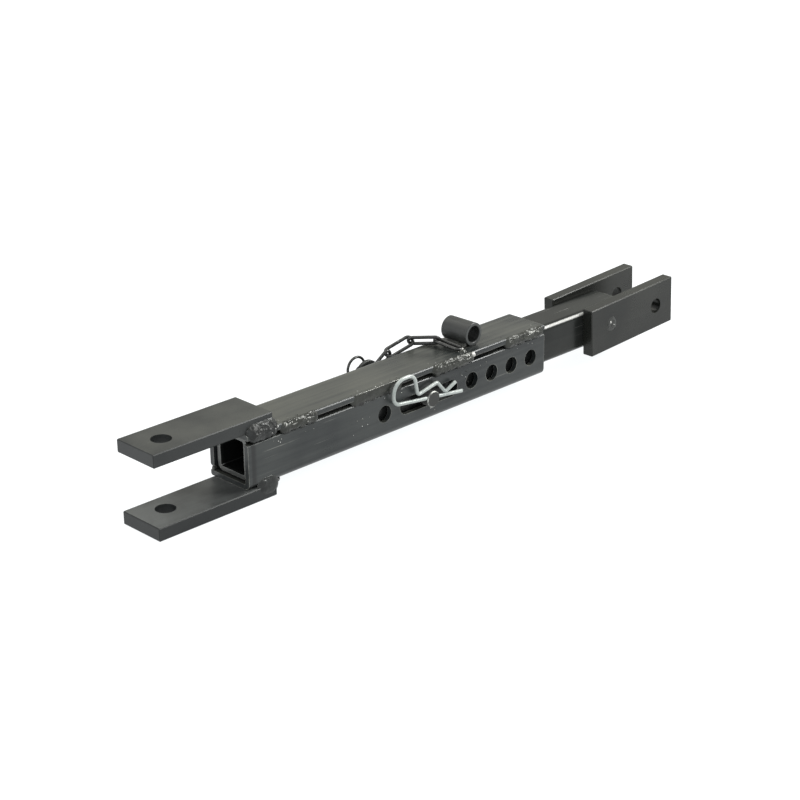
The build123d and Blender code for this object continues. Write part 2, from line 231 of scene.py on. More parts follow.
# Colour of the painted shade at the seam beads' lower feet.
FOOT_SHADE_COLOUR = (0.004, 0.004, 0.0035)
GLINT = (0.75, 0.76, 0.75)
END_SHADE_FULL, END_SHADE_GONE = -0.0175, -0.0090  # heights on a sawn end between which the painted shade fades out
END_SHADE_SHARE = 0.25                               # the lighter colour's share where the painted shade is full
CORNER_HIGHLIGHT_FROM, CORNER_HIGHLIGHT_FULL = 0.42, 0.49       # sideways times upwards share of a rounded corner's normal, over which its painted highlight fades in
# Width and strength of rubbed edges, and the noise levels between which they fade in; partly a painted highlight.
RUB_AND_HIGHLIGHT = (0.0008, 0.55, 0.36, 0.66)


def rolled_steel(name, dark, light, worn_and_highlight, streaks, rough=(0.30, 0.46), ends=None, dark_band=None, metallic=0.15,
                 specular=0.5, rub_and_highlight=RUB_AND_HIGHLIGHT, top=None, corner_highlight=0.0, dull_edges=0.0):
    """Hot-rolled stock: dark satin scale with soft clouds, faint lines along the bar, sparse pits and rubbed edges,
    partly a painted highlight.

    worn is the colour of rubbed metal, also mixed in as a painted highlight. streaks is the share of the lines along
    the bar, and rough the range of roughness. ends is a lighter colour for sawn ends, darkened towards the bottom as
    painted shade. stain is a darker band: its place along the bar and its strength. rub is the rubbed edges' width and
    strength, and the two levels of noise between which they fade in; the rubbed edges are partly a painted highlight.
    top is a lighter colour for top faces: painted light. corners is how strongly the long rounded edges on top carry a
    painted highlight. dull_edges is added to the roughness of the edges.
    """
    g = Graph(name)
    cloud = g.noise(CLOUD, 4.0, 0.5)
    streak = g.noise(1.0, 5.0, 0.6, g.scaled(STREAK))
    hair = g.noise(1.0, 3.0, 0.5, g.scaled(HAIR))
    grain = g.noise(GRAIN, 3.0)
    patch = g.ramp(g.noise(PATCH, 3.0), 0.46, 0.60)
    pits = g.times(g.ramp(g.noise(PIT, 2.0, 0.6), 0.70, 0.75), patch)
    scratch = g.times(g.ramp(hair, 0.66, 0.74), patch)
    blend = g.plus(g.times(cloud, 1.0 - streaks), g.times(streak, streaks))
    body = g.mix(g.ramp(blend, 0.38, 0.64), dark, light)
    if ends:
        cut = g.plus(cut_faces(g, X, -0.93, -0.99), cut_faces(g, X, 0.93, 0.99))
        # Painted shade: the sawn end's lighter colour gives way to a darker one towards the bottom.
        unshaded = g.ramp(g.parts(g.coords)[Z], END_SHADE_FULL, END_SHADE_GONE, END_SHADE_SHARE, 1.0)
        body = g.mix(g.times(cut, unshaded), body, ends)
    body = g.mix(g.times(scratch, streaks), body, worn_and_highlight)
    body = g.mix(g.times(pits, 0.75), body, tuple(c * PIT_DARK for c in dark))
    edge_width, edge_strength, edge_from, edge_full = rub_and_highlight
    # Rubbed edges, partly a painted highlight: mixed towards the light rubbed colour.
    edge = g.times(g.edges(edge_width), g.ramp(g.noise(WEAR, 4.0), edge_from, edge_full))
    body = g.mix(g.times(edge, edge_strength), body, worn_and_highlight)
    if top:
        # Painted light: top faces are mixed towards the lighter top colour.
        top_light = g.times(cut_faces(g, Z, 0.90, 0.98), g.ramp(blend, 0.40, 0.62, 0.10, 1.0))
        body = g.mix(top_light, body, top)
    # Painted highlight along the long rounded edges on top, found by the slant of their normals.
    if corner_highlight:
        facing = g.parts(g.normals)
        slant = g.times(g.math("ABSOLUTE", facing[Y], 0.0), facing[Z])
        body = g.mix(g.times(g.ramp(slant, CORNER_HIGHLIGHT_FROM, CORNER_HIGHLIGHT_FULL), corner_highlight), body, worn_and_highlight)
    # A darker band along the bar; on the inner tube it is painted shade where the sleeve covers it.
    if dark_band:
        place, strength = dark_band
        body = g.mix(g.times(band_along(g, *place), strength), body, BAND_DARK)
    roughness = g.ramp(g.plus(g.times(cloud, 0.7), g.times(grain, 0.3)),
                       0.36, 0.64, *rough)
    if dull_edges:
        roughness = g.plus(roughness, g.times(g.edges(DULL_EDGE_WIDTH), dull_edges))
    height = g.plus(g.times(grain, 0.25), g.times(streak, streaks))
    height = g.minus(height, g.times(pits, 0.7))
    return g.finish(body, roughness, g.bump(height, 0.16, 0.0004), metallic, specular)


def weld_metal(name, dark=(0.012, 0.013, 0.0105), light=(0.028, 0.030, 0.025), highlight_colour=(0.42, 0.42, 0.37),
               rough=(0.36, 0.22), foot_shade=None):
    """Weld bead: dark satin metal with smoky hollows; its sharp crests carry a painted highlight in patches.

    soot gives two distances above or below the bar's middle between which painted shade fades: full up to the first,
    gone from the second.
    """
    g = Graph(name)
    lumps = g.noise(1.0, 4.0, 0.6, g.scaled(WELD_LUMP))
    fine = g.noise(WELD_FINE, 3.0)
    patch = g.ramp(g.noise(WELD_PATCH, 3.0), 0.40, 0.60)
    # Painted highlight on sharp crests, in patches.
    crest_highlight = g.times(g.edges(WELD_CREST_WIDTH, 0.03, 0.22), patch)
    body = g.mix(g.ramp(lumps, 0.34, 0.66), dark, light)
    body = g.mix(g.times(crest_highlight, 0.9), body, highlight_colour)
    if foot_shade:
        full_shade, unshaded = foot_shade
        # Painted shade: full below the first height and gone above the second.
        level = g.math("ABSOLUTE", g.parts(g.coords)[Z], 0.0)
        body = g.mix(g.ramp(level, unshaded, full_shade, 0.0, 0.9), body, FOOT_SHADE_COLOUR)
    height = g.plus(lumps, g.times(fine, 0.10))
    return g.finish(body, g.ramp(lumps, 0.35, 0.65, *rough), g.bump(height, 0.14, 0.0006), 0.35)


def turned_steel(name, dark, light, metallic, rough, face=None, rim=None):
    """A machined or drawn surface with faint lines; its front face can differ; rim is a painted highlight round it."""
    g = Graph(name)
    lines = g.noise(1.0, 4.0, 0.5, g.scaled(TURNED_LINE))
    broad = g.noise(TURNED_CLOUD, 4.0)
    grain = g.noise(TURNED_GRAIN, 2.0)
    body = g.mix(g.ramp(g.plus(g.times(lines, 0.4), g.times(broad, 0.6)), 0.36, 0.66),
                 dark, light)
    if face:
        body = g.mix(cut_faces(g, Y, -0.88, -0.97), body, face)
    if rim:
        # Painted highlight on the chamfer round the front face, broken by noise.
        slant = g.times(cut_faces(g, Y, -0.45, -0.55), cut_faces(g, Y, -0.95, -0.85))
        broken = g.ramp(g.noise(RIM_BREAK, 3.0, 0.6), 0.40, 0.58)
        body = g.mix(g.times(slant, broken), body, rim)
    edge = g.times(g.edges(TURNED_EDGE_WIDTH), g.ramp(g.noise(TURNED_WEAR, 3.0), 0.40, 0.60))
    body = g.mix(g.times(edge, 0.5), body, tuple(min(1.0, c * 2.0 + 0.06) for c in light))
    height = g.plus(g.times(lines, 0.4), g.times(grain, 0.3))
    return g.finish(body, g.ramp(broad, 0.35, 0.65, *rough), g.bump(height, 0.10, 0.0003), metallic)


def plated_wire(name, dark, light, metallic, rough, cloud, glint=0.0):
    """Drawn wire: smooth, soft clouds of the given scale and small dull spots; glint adds painted highlight specks."""
    g = Graph(name)
    cloudy = g.noise(cloud, 3.0, 0.5)
    drawn = g.noise(WIRE_DRAWN, 3.0)
    dull = g.ramp(g.noise(WIRE_DULL, 3.0, 0.7), 0.70, 0.77)
    body = g.mix(g.ramp(cloudy, 0.34, 0.66), dark, light)
    body = g.mix(g.times(dull, 0.45), body, tuple(c * DULL_DARK for c in dark))
    if glint:
        # Painted highlight specks.
        specks = g.times(g.ramp(g.noise(WIRE_SPECK, 2.0), 0.60, 0.66), g.ramp(g.noise(SPECK_PATCH, 2.0), 0.50, 0.58))
        body = g.mix(g.times(specks, glint), body, GLINT)
    return g.finish(body, g.ramp(cloudy, 0.35, 0.65, *rough), g.bump(drawn, 0.08, 0.0002), metallic)


BAR = rolled_steel("rolled_steel", (0.010, 0.0125, 0.0135), (0.031, 0.0345, 0.0335), (0.30, 0.30, 0.27),
                   # the darker band runs across the sleeve near its left end
                   streaks=0.42, rough=(0.26, 0.38), dark_band=((0.0745, 0.0760, 0.0785, 0.0815), 0.75), specular=0.40,
                   # the lighter top colour is painted light on the top faces
                   rub_and_highlight=(0.0010, 0.70, 0.30, 0.60), top=(0.056, 0.058, 0.050))
TUBE = rolled_steel("drawn_tube", (0.010, 0.0110, 0.0105), (0.020, 0.0215, 0.020), (0.62, 0.62, 0.60),
                    # the lighter sawn ends carry painted shade towards the bottom
                    streaks=0.25, rough=(0.18, 0.26), ends=(0.16, 0.165, 0.16),
                    # painted shade: the tube is darker over the stretch that lies inside the sleeve
                    dark_band=((0.0765, 0.0795, 0.4400, 0.4560), 0.94), metallic=0.10, specular=0.15,
                    # the light rubbed colour is also a painted highlight, on the edges and along the long rounded top
                    # edges
                    rub_and_highlight=(0.0008, 0.30, 0.36, 0.66), corner_highlight=0.55)
PLATE = rolled_steel("flat_bar", (0.009, 0.0105, 0.011), (0.020, 0.022, 0.0215), (0.07, 0.07, 0.065),
                     # the lighter top colour is painted light on the top faces
                     streaks=0.10, specular=0.40, top=(0.042, 0.044, 0.039), dull_edges=0.35)
# The lower lug's copy of the flat bar: darker all over as painted shade, with a much lighter top as painted light.
LOW_PLATE_LIT_AND_SHADED = rolled_steel("flat_bar_low_lit_and_shaded", (0.005, 0.0065, 0.007), (0.013, 0.0145, 0.0145), (0.07, 0.07, 0.065),
                         streaks=0.10, specular=0.35, top=(0.085, 0.090, 0.088), dull_edges=0.35)
CLEVIS = rolled_steel("clevis_bar", (0.008, 0.009, 0.008), (0.018, 0.019, 0.0165), (0.12, 0.12, 0.11),
                      streaks=0.15, rough=(0.20, 0.32), metallic=0.20, specular=0.30, dull_edges=0.35)
# The seam beads carry painted shade at their lower feet, where they meet the front angle's top edge.
SEAM_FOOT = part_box("sleeve_angle_front_bottom")[1].z - 0.0006
FOOT_SHADE_FADE = 0.0022
WELD = weld_metal("weld_metal")
SEAM_WELD = weld_metal("seam_weld", foot_shade=(SEAM_FOOT, SEAM_FOOT + FOOT_SHADE_FADE))
LUG_WELD = weld_metal("lug_weld", (0.005, 0.0058, 0.0055), (0.018, 0.020, 0.019), (0.42, 0.42, 0.39),
                      rough=(0.46, 0.28))
PLUG = weld_metal("plug_weld", (0.012, 0.013, 0.012), (0.034, 0.036, 0.033), (0.16, 0.16, 0.15))
# Pale metal that paints highlights: glints on the plug welds, the seam beads, the chain's anchor and some spatter.
GLINT_METAL = weld_metal("spatter_glints", (0.20, 0.20, 0.19), (0.55, 0.55, 0.52), (0.75, 0.75, 0.72))
BUSH = turned_steel("bush_steel", (0.012, 0.0135, 0.013), (0.023, 0.025, 0.0235), metallic=0.1, rough=(0.40, 0.52),
                    face=(0.036, 0.039, 0.038))
PIN = turned_steel("pin_steel", (0.06, 0.062, 0.06), (0.11, 0.11, 0.105), metallic=0.4, rough=(0.30, 0.42),
                   # the light rim colour is a painted highlight on the chamfer
                   face=(0.024, 0.025, 0.023), rim=(0.36, 0.37, 0.34))
COLLAR = turned_steel("collar_steel", (0.013, 0.014, 0.013), (0.026, 0.028, 0.026), metallic=0.2, rough=(0.36, 0.50))
CLIP = plated_wire("zinc_clip", (0.24, 0.265, 0.253), (0.34, 0.365, 0.35), metallic=0.2, rough=(0.26, 0.36),
                   cloud=60.0)
# the ring's glint value paints highlight specks on its wire
RING = plated_wire("ring_wire", (0.022, 0.023, 0.022), (0.055, 0.056, 0.053), metallic=0.3, rough=(0.24, 0.36),
                   cloud=220.0, glint=0.8)
CHAIN = plated_wire("chain_wire", (0.013, 0.014, 0.013), (0.028, 0.029, 0.028), metallic=0.25, rough=(0.24, 0.36),
                    cloud=200.0, glint=0.10)

FINISHES = {
    "sleeve_angle_top_rear": BAR, "sleeve_angle_front_bottom": BAR, "upper_lug": PLATE, "lower_lug": LOW_PLATE_LIT_AND_SHADED,
    "inner_tube": TUBE, "clevis_plate_front": CLEVIS, "clevis_plate_rear": CLEVIS, "parking_bush": BUSH,
    "adjusting_pin": PIN, "pin_collar": COLLAR, "pin_ring": RING, "r_clip": CLIP, "clevis_plug_welds": PLUG,
}


def finish_of(node):
    """The material of a CAD node."""
    if node.startswith("chain_link"):
        return CHAIN
    return FINISHES.get(node, WELD)


for node_name, node_object in NODES.items():
    node_object.data.materials.clear()
    node_object.data.materials.append(finish_of(node_name))


def add_mesh(name, vertices, faces, body, material):
    """Makes one piece of the object from points in millimetres."""
    mesh = bpy.data.meshes.new(name)
    mesh.from_pydata([tuple(c * MM for c in v) for v in vertices], [], faces)
    mesh.materials.append(material)
    mesh.validate()
    mesh.update()
    for polygon in mesh.polygons:
        polygon.use_smooth = True
    piece = bpy.data.objects.new(name, mesh)
    bpy.context.scene.collection.objects.link(piece)
    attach(piece, body)
    return piece


SPLINE_STEPS = 12


def spline_points(points, count):
    """count points along a smooth curve through the given 2-D points, evenly spaced by length."""
    padded = [points[0]] + list(points) + [points[-1]]
    fine = []
    for a, b, c, d in zip(padded, padded[1:], padded[2:], padded[3:]):
        for n in range(SPLINE_STEPS):
            t = n / SPLINE_STEPS
            fine.append(tuple(0.5 * (2 * q + (r - p) * t + (2 * p - 5 * q + 4 * r - s) * t * t
                                     + (3 * q - p - 3 * r + s) * t ** 3) for p, q, r, s in zip(a, b, c, d)))
    fine.append(points[-1])
    steps = [math.dist(p, q) for p, q in zip(fine, fine[1:])]
    along = np.concatenate([[0.0], np.cumsum(steps)])
    at = np.linspace(0.0, along[-1], count)
    return [(float(np.interp(s, along, [p[0] for p in fine])), float(np.interp(s, along, [p[1] for p in fine])))
            for s in at]


# Shapes that all beads share. Widths are shares of the bead's width from foot to foot, and scales are per millimetre.
PUDDLE_LONG, PUDDLE_WIDE, PUDDLE_SHIFT = 0.95, 0.46, 0.12      # half a puddle's length is a share of the pitch
PUDDLE_BASE, PUDDLE_ROUND = 0.55, 0.6       # share of the lump that every puddle has, and the roundness of its top
RIDGE_SCALE, RIDGE_STEEP, RIDGE_SHARP, RIDGE_SHARE = 0.21, 4.5, 1.6, 0.75
COARSE_SCALE, COARSE_SHARE = 0.45, 0.55
FINE_SCALE, FINE_SHARE = 1.5, 0.14
FOOT_ROUGH, CROWN_ROUGH = 0.35, 0.65        # roughness at the feet, and what the crown adds to it
ROPE_SCALE, ROPE_SWING, ROPE_TREMBLE, ROPE_WIDTH = 0.11, 0.16, 0.05, 0.055
SWAY_SCALE, TREMBLE_SCALE = 0.20, 0.65      # of a ragged foot
FOOT_SHARE = 0.45                           # the share of the width over which a ragged foot moves
END_SIZE = 0.12                             # the share of its section to which a bead shrinks at its ends
END_GROWTH = 1.0 - END_SIZE
NOISE_SPAN = 50.0                           # each bead reads the noise at its own place within this span
RIM_WOBBLE, DAB_SCALE, CRATER_SHARE = 0.16, 0.9, 0.38          # of a round dab


def puddle_height(puddles, s, t, pitch):
    """Height of the tallest puddle at s millimetres along a bead and the share t of its width."""
    height = 0.0
    for where, offset, size, tall in puddles:
        reach = ((s - where) / (pitch * PUDDLE_LONG * size)) ** 2 + ((t - 0.5 - offset) / (PUDDLE_WIDE * size)) ** 2
        if reach < 1.0:
            height = max(height, (1.0 - reach) ** PUDDLE_ROUND * tall)
    return height


def roughness_at(spot):
    """Sharp ridges with coarse and fine noise, as a share of a bead's lump."""
    ridge = max(0.0, 1.0 - abs(noise.noise(spot * RIDGE_SCALE)) * RIDGE_STEEP) ** RIDGE_SHARP
    coarse, fine = noise.noise(spot * COARSE_SCALE), noise.noise(spot * FINE_SCALE)
    return ridge * RIDGE_SHARE + coarse * COARSE_SHARE + fine * FINE_SHARE


def rope_height(ropes, s, t, shift):
    """Height of the ridges that wander along a bead, at s millimetres along it and the share t of its width."""
    height = 0.0
    for number, (place, tall) in enumerate(ropes):
        drift = Vector((s * ROPE_SCALE, 7.3 * number, 0.0)) + shift
        wander = place + ROPE_SWING * noise.noise(drift) + ROPE_TREMBLE * noise.noise(drift * 4.0)
        swell = tall * max(0.0, 0.55 + 1.1 * noise.noise(drift * 2.3 + Vector((0.0, 3.1, 0.0))))
        height += swell * math.exp(-((t - wander) / ROPE_WIDTH) ** 2)
    return height


class Bead:
    """Points and faces of one or more weld beads, gathered into one mesh."""

    def __init__(self, seed):
        self.vertices, self.faces = [], []
        self.random = random.Random(seed)

    def shift(self):
        """A place of its own in the noise for one bead."""
        return Vector([self.random.uniform(0, NOISE_SPAN) for _ in range(3)])

    def puddles(self, length, pitch, lump, grow):
        """The place along, place across, size and height of each puddle of a bead."""
        made, at = [], self.random.uniform(0.0, pitch * 0.5)
        while at < length:
            size = self.random.uniform(0.75, 1.3)
            offset = self.random.uniform(-PUDDLE_SHIFT, PUDDLE_SHIFT)
            tall = lump * PUDDLE_BASE + self.random.uniform(-0.3, 1.0) * lump + grow
            made.append((at, offset, size, tall))
            at += pitch * self.random.uniform(0.7, 1.25)
        return made

    def run(self, start, end, out, up, section, back, lump=0.55, pitch=3.0, grow=0.12, taper=3.5, across=22,
            step=0.45, stretch=1.0, ropes=(), ragged=0.0):
        """A bead from start to end. section lists (out, up) points from foot to foot, back the hidden side's points.

        lump is the height of the puddles and the roughness, pitch the puddles' spacing, grow what every puddle stands
        higher and taper the length of the rounded ends. across counts the points of a section and step is the length
        between sections. stretch below 1 draws the roughness out along the bead. ropes lists the share of the section
        at which a wandering ridge runs along the bead, with its height. ragged is how far the first foot wanders.
        """
        start, end, out, up = Vector(start), Vector(end), Vector(out), Vector(up)
        length = (end - start).length
        along = (end - start) / length
        outline = spline_points(section, across)
        middle = Vector((sum(p[0] for p in back) / len(back), sum(p[1] for p in outline) / len(outline)))
        puddles = self.puddles(length, pitch, lump, grow)
        shift = self.shift()
        stations = max(8, round(length / step))
        rows = []
        for i in range(stations + 1):
            s = length * i / stations
            edge = min(s, length - s)
            size = END_SIZE + END_GROWTH * math.sqrt(max(0.0, 1.0 - (1.0 - min(1.0, edge / taper)) ** 2))
            sway = ragged * (noise.noise(Vector((s * SWAY_SCALE, 0.0, 9.0)) + shift)
                             + 0.5 * noise.noise(Vector((s * TREMBLE_SCALE, 0.0, 5.0)) + shift))
            points = []
            for j, (u, v) in enumerate(outline):
                t = j / (across - 1)
                v += sway * max(0.0, 1.0 - t / FOOT_SHARE)
                crown = math.sin(math.pi * t)
                rough = roughness_at(start + along * s * stretch + out * u + up * v + shift)
                height = puddle_height(puddles, s, t, pitch) * crown
                height += rough * lump * (FOOT_ROUGH + CROWN_ROUGH * crown)
                height += rope_height(ropes, s, t, shift)
                a, b = outline[max(0, j - 1)], outline[min(across - 1, j + 1)]
                points.append(Vector((u, v)) + Vector((b[1] - a[1], a[0] - b[0])).normalized() * height)
            ring = []
            for point in points + [Vector(p) for p in back]:
                flat = middle + (point - middle) * size
                ring.append(start + along * s + out * flat.x + up * flat.y)
            rows.append(ring)
        self.tube(rows)

    def tube(self, rows):
        """Joins rings of points into a closed skin."""
        base, size = len(self.vertices), len(rows[0])
        for ring in rows:
            self.vertices.extend(tuple(p) for p in ring)
        for i in range(len(rows) - 1):
            for j in range(size):
                a, b = base + i * size + j, base + i * size + (j + 1) % size
                self.faces.append((a, b, b + size, a + size))
        self.faces.append(tuple(base + j for j in reversed(range(size))))
        last = base + (len(rows) - 1) * size
        self.faces.append(tuple(last + j for j in range(size)))

    def blob(self, centre, out, radius, height, lump=0.25, rings=9, around=22, sink=0.6, crater=0.0):
        """A round dab of weld metal on a surface that faces out.

        Its rim goes sink deep into the surface, and crater is the depth of a hollow at its middle.
        """
        centre, out = Vector(centre), Vector(out).normalized()
        side = out.orthogonal().normalized()
        other = out.cross(side)
        shift = self.shift()
        base = len(self.vertices)
        self.vertices.append(tuple(centre + out * (height + lump * 0.3 - crater)))
        for r in range(1, rings + 1):
            share = r / rings
            for k in range(around):
                angle = 2 * math.pi * k / around
                away = side * math.cos(angle) + other * math.sin(angle)
                wobble = 1.0 + RIM_WOBBLE * noise.noise(away * 1.3 + shift)
                spot = centre + away * radius * share * wobble
                tall = height * math.sqrt(max(0.0, 1.0 - share ** 2)) + lump * noise.noise((spot + shift) * DAB_SCALE)
                tall = (tall - crater * math.exp(-(share / CRATER_SHARE) ** 2)) * (1.0 - share ** 6) - sink * share ** 6
                self.vertices.append(tuple(spot + out * tall))
        for k in range(around):
            self.faces.append((base, base + 1 + k, base + 1 + (k + 1) % around))
        for r in range(rings - 1):
            for k in range(around):
                a = base + 1 + r * around + k
                b = base + 1 + r * around + (k + 1) % around
                self.faces.append((a, a + around, b + around, b))
        self.faces.append(tuple(base + 1 + (rings - 1) * around + k for k in reversed(range(around))))

    def piece(self, name, body, node=None, material=WELD):
        """Makes the gathered beads one piece, in place of a CAD node if one is named."""
        made = add_mesh(name, self.vertices, self.faces, body, material)
        if node:
            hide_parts(node)


def extents(node):
    """Lowest and highest corner of a CAD node in millimetres."""
    low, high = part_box(node)
    return low / MM, high / MM


def middle_of(node, height):
    """The middle of a CAD node in plan, in millimetres, at the given height."""
    low, high = extents(node)
    return Vector(((low.x + high.x) / 2, (low.y + high.y) / 2, height))


SLEEVE_LOW, SLEEVE_HIGH = extents("sleeve_angle_top_rear")
HALF = SLEEVE_HIGH.z
SLEEVE_END = SLEEVE_LOW.x
LEG_TOP = extents("sleeve_angle_front_bottom")[1].z
FRONT, REAR = Vector((0, -1, 0)), Vector((0, 1, 0))
UP, DOWN = Vector((0, 0, 1)), Vector((0, 0, -1))

SEAM_SPANS_FRONT = ((108.5, 154.2), (193.6, 260.0), (295.5, 355.3), (397.1, 454.6))
SEAM_SPANS_REAR = ((71.5, 112.0), (176.0, 222.0), (330.0, 376.0), (412.0, 454.6))
# Every section runs from its first foot, over the crown, to its second foot; the back closes it inside the steel.
SEAM_SECTION = [(0.0, LEG_TOP - 0.9), (1.0, LEG_TOP + 0.2), (1.7, LEG_TOP + 1.8), (1.8, LEG_TOP + 3.2),
                (0.9, HALF - 2.2), (-0.5, HALF - 0.6), (-1.9, HALF + 0.25), (-3.2, HALF - 0.1)]
SEAM_BACK = [(-4.0, HALF - 2.0), (-3.6, LEG_TOP + 0.3)]
SEAM_ROPES = [(0.30, 0.55), (0.52, 0.85), (0.70, 1.0), (0.86, 0.6)]
SEAM = {"section": SEAM_SECTION, "back": SEAM_BACK, "lump": 0.5, "pitch": 6.0, "taper": 6.5, "across": 34,
        "stretch": 0.4, "ropes": SEAM_ROPES, "ragged": 2.6}
# The R-clip passes close in front of the second stitch, which is flatter for it.
FLAT_STITCH = 1
FLAT_SEAM = {**SEAM, "section": [(u * 0.3, v) for u, v in SEAM_SECTION], "lump": 0.2, "grow": 0.0,
             "ropes": [(place, tall * 0.12) for place, tall in SEAM_ROPES]}

front_seam = Bead(3)
for number, (left, right) in enumerate(SEAM_SPANS_FRONT):
    front_seam.run((left, -HALF, 0), (right, -HALF, 0), FRONT, UP, **(FLAT_SEAM if number == FLAT_STITCH else SEAM))
front_seam.piece("seam_beads_front", "sleeve", "seam_welds_front", SEAM_WELD)

rear_seam = Bead(4)
for left, right in SEAM_SPANS_REAR:
    rear_seam.run((left, HALF, 0), (right, HALF, 0), REAR, DOWN, **SEAM)
rear_seam.piece("seam_beads_rear", "sleeve", "seam_welds_rear", SEAM_WELD)

# ---- welds round the lugs --------------------------------------------------------------------------------------------
RIGHT = Vector((1, 0, 0))
SEAM_SIDE = [(0.0, 17.6), (1.3, 19.4), (2.0, 23.0), (1.7, 26.5), (0.5, 29.5), (-1.4, 32.0), (-3.4, 34.0)]
SEAM_SIDE_BACK = [(-4.7, 33.0), (-4.7, 17.3)]
WALL_SIDE = [(0.0, 19.4), (1.0, 21.0), (1.9, 24.0), (2.1, 27.5), (1.5, 31.0), (0.5, 33.6)]
WALL_SIDE_BACK = [(-1.5, 32.5), (-1.5, 20.5)]
LOW_WALL_SIDE = [(0.0, 18.4), (0.7, 20.8), (1.4, 24.0), (2.1, 27.6), (2.2, 31.2), (1.4, 34.6)]
LOW_WALL_BACK = [(0.0, 33.4), (-1.5, 26.5), (-1.5, 19.6)]

upper_low, upper_high = extents("upper_lug")
upper_start, upper_end = SLEEVE_END + 0.6, upper_high.x
upper_weld = Bead(11)
upper_weld.run((upper_start, -HALF, 0), (upper_end + 4.0, -HALF, 0), FRONT, UP, SEAM_SIDE, SEAM_SIDE_BACK,
               lump=0.9, pitch=5.5, taper=8.0, across=34, stretch=0.7, ropes=((0.25, 0.7), (0.5, 0.5), (0.8, 0.8)),
               ragged=2.0)
upper_weld.run((upper_start, HALF, 0), (upper_end + 1.0, HALF, 0), REAR, UP, WALL_SIDE, WALL_SIDE_BACK, lump=0.7)
upper_weld.run((upper_end, upper_low.y + 1.5, 0), (upper_end, upper_high.y - 1.5, 0), RIGHT, UP,
               [(4.4, HALF - 0.1), (2.5, HALF + 0.9), (1.2, HALF + 2.2), (-0.1, HALF + 4.0)],
               [(-1.0, HALF + 3.0), (-1.0, HALF - 1.0), (3.4, HALF - 1.0)], lump=0.5, pitch=2.6, taper=2.5)
upper_weld.piece("upper_lug_beads", "sleeve", "upper_lug_welds", LUG_WELD)

lower_high = extents("lower_lug")[1]
lower_start, lower_end = SLEEVE_END + 9.0, lower_high.x
lower_weld = Bead(12)
lower_weld.run((lower_start, -HALF, 0), (lower_end + 3.0, -HALF, 0), FRONT, DOWN, LOW_WALL_SIDE, LOW_WALL_BACK,
               lump=0.3, pitch=7.0, taper=9.0, across=30, stretch=0.5, ropes=((0.15, 0.4),))
lower_weld.run((lower_start + 3.0, HALF, 0), (lower_end + 2.0, HALF, 0), REAR, DOWN, SEAM_SIDE, SEAM_SIDE_BACK,
               lump=0.7, taper=3.0)
lower_weld.run((lower_end, -HALF + 1.0, 0), (lower_end, lower_high.y - 1.5, 0), RIGHT, DOWN,
               [(8.6, HALF - 0.1), (5.6, HALF + 1.1), (2.6, HALF + 3.2), (-0.1, HALF + 6.2)],
               [(-1.0, HALF + 5.2), (-1.0, HALF - 1.0), (7.6, HALF - 1.0)], lump=0.35, pitch=5.0, taper=5.0)
lower_weld.piece("lower_lug_beads", "sleeve", "lower_lug_welds", LUG_WELD)

# ---- welds under the bush, at the chain's end and in the clevis ------------------------------------------------------
BUSH_YAW = math.radians(-1.5)
BUSH_WELD_HALF = 13.0
bush_along = Vector((math.sin(BUSH_YAW), math.cos(BUSH_YAW), 0))
bush_across = Vector((math.cos(BUSH_YAW), -math.sin(BUSH_YAW), 0))
bush_middle = middle_of("parking_bush", 0)
bush_weld = Bead(13)
for side in (-1, 1):
    bush_weld.run(bush_middle - bush_along * BUSH_WELD_HALF, bush_middle + bush_along * BUSH_WELD_HALF,
                  bush_across * side, UP,
                  [(9.2, HALF - 0.1), (7.9, HALF + 0.8), (7.4, HALF + 1.8), (7.4, HALF + 3.0)],
                  [(6.6, HALF + 3.0), (5.0, HALF - 0.3), (8.2, HALF - 0.6)], lump=0.35, pitch=3.4, across=12)
bush_weld.piece("bush_beads", "sleeve", "bush_welds")

anchor = middle_of("chain_anchor_weld", HALF)
anchor_weld = Bead(14)
anchor_weld.blob(anchor, UP, radius=4.7, height=2.3, lump=0.5, rings=12, around=30)
anchor_weld.piece("anchor_dab", "sleeve", "chain_anchor_weld")

plug_low, plug_high = extents("clevis_plug_welds")
plug_x, plug_z = (plug_low.x + plug_high.x) / 2, (plug_low.z + plug_high.z) / 2
PLATE_FACE = extents("clevis_plate_rear")[1].y
BOTH_SIDES = ((-1, FRONT), (1, REAR))
plug_weld = Bead(15)
for side, out in BOTH_SIDES:
    plug_weld.blob((plug_x, side * PLATE_FACE, plug_z), out, radius=8.9, height=0.65, lump=0.6, rings=16, around=48,
                   sink=0.8, crater=0.8)
plug_weld.piece("plug_weld_faces", "inner_bar", "clevis_plug_welds", PLUG)

PLUG_GLINTS = ((-1.5, 2.6, 1.6), (3.8, -1.2, 0.9))             # painted highlight dabs: x and z from the plug's middle, radius
plug_glints = Bead(19)
for side, out in BOTH_SIDES:
    for x, z, radius in PLUG_GLINTS:
        plug_glints.blob((plug_x + x, side * (PLATE_FACE + 0.25), plug_z + z), out, radius, 0.55, lump=0.5, rings=7,
                         around=18, sink=0.8)
plug_glints.piece("plug_glints", "inner_bar", material=GLINT_METAL)

TUBE_END = extents("inner_tube")[1].x
TUBE_HALF = 20.0
CORNER_WELD_LOW, CORNER_WELD_HIGH = -12.9, 14.1
corner_weld = Bead(16)
for side in (-1, 1):
    corner_weld.run((TUBE_END, side * TUBE_HALF, CORNER_WELD_LOW), (TUBE_END, side * TUBE_HALF, CORNER_WELD_HIGH),
                    RIGHT, (0, -side, 0),
                    [(5.2, -0.1), (3.2, 1.0), (1.4, 2.2), (-0.1, 3.8)], [(-1.0, 3.0), (-1.0, -0.8), (4.0, -0.8)],
                    lump=0.4, pitch=2.8, across=12)
corner_weld.piece("clevis_corner_beads", "inner_bar", "clevis_end_welds")

